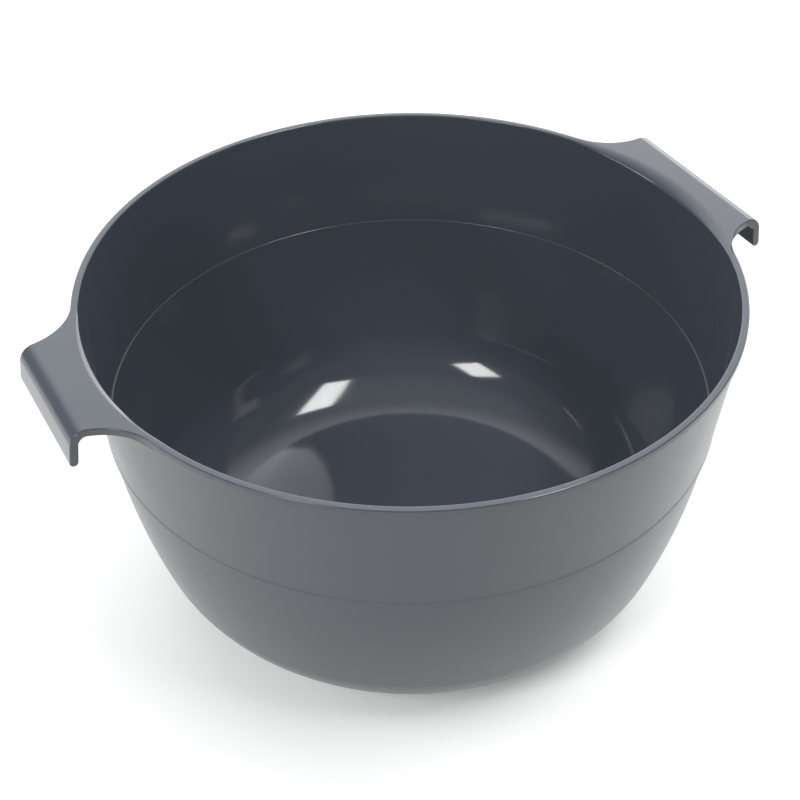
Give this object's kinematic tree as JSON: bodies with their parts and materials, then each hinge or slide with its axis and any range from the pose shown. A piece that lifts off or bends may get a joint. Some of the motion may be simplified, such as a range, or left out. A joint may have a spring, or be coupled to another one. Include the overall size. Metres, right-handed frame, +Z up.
{
  "type": "mixing bowl",
  "caption": "Deep round plastic kitchen bowl for mixing and washing, with a flat rim and hooked side handles, standing on a low foot ring.",
  "frame": {"origin": "centre of the base, on the surface that the bowl stands on", "axes": "+Z up along the bowl's axis, X square to the folds of both handles with +X toward handle_right, Y along the folds"},
  "size_m": [0.3488, 0.3066, 0.167],
  "materials": {
    "plastic": "slate blue-grey, glossy inside and on the rim, satin outside"
  },
  "bodies": {
    "root": {"rim": "plastic", "upper_wall": "plastic", "lower_bowl": "plastic", "floor_disc": "plastic", "foot_ring": "plastic", "handle_left": "plastic", "handle_right": "plastic"}
  },
  "joints": []
}
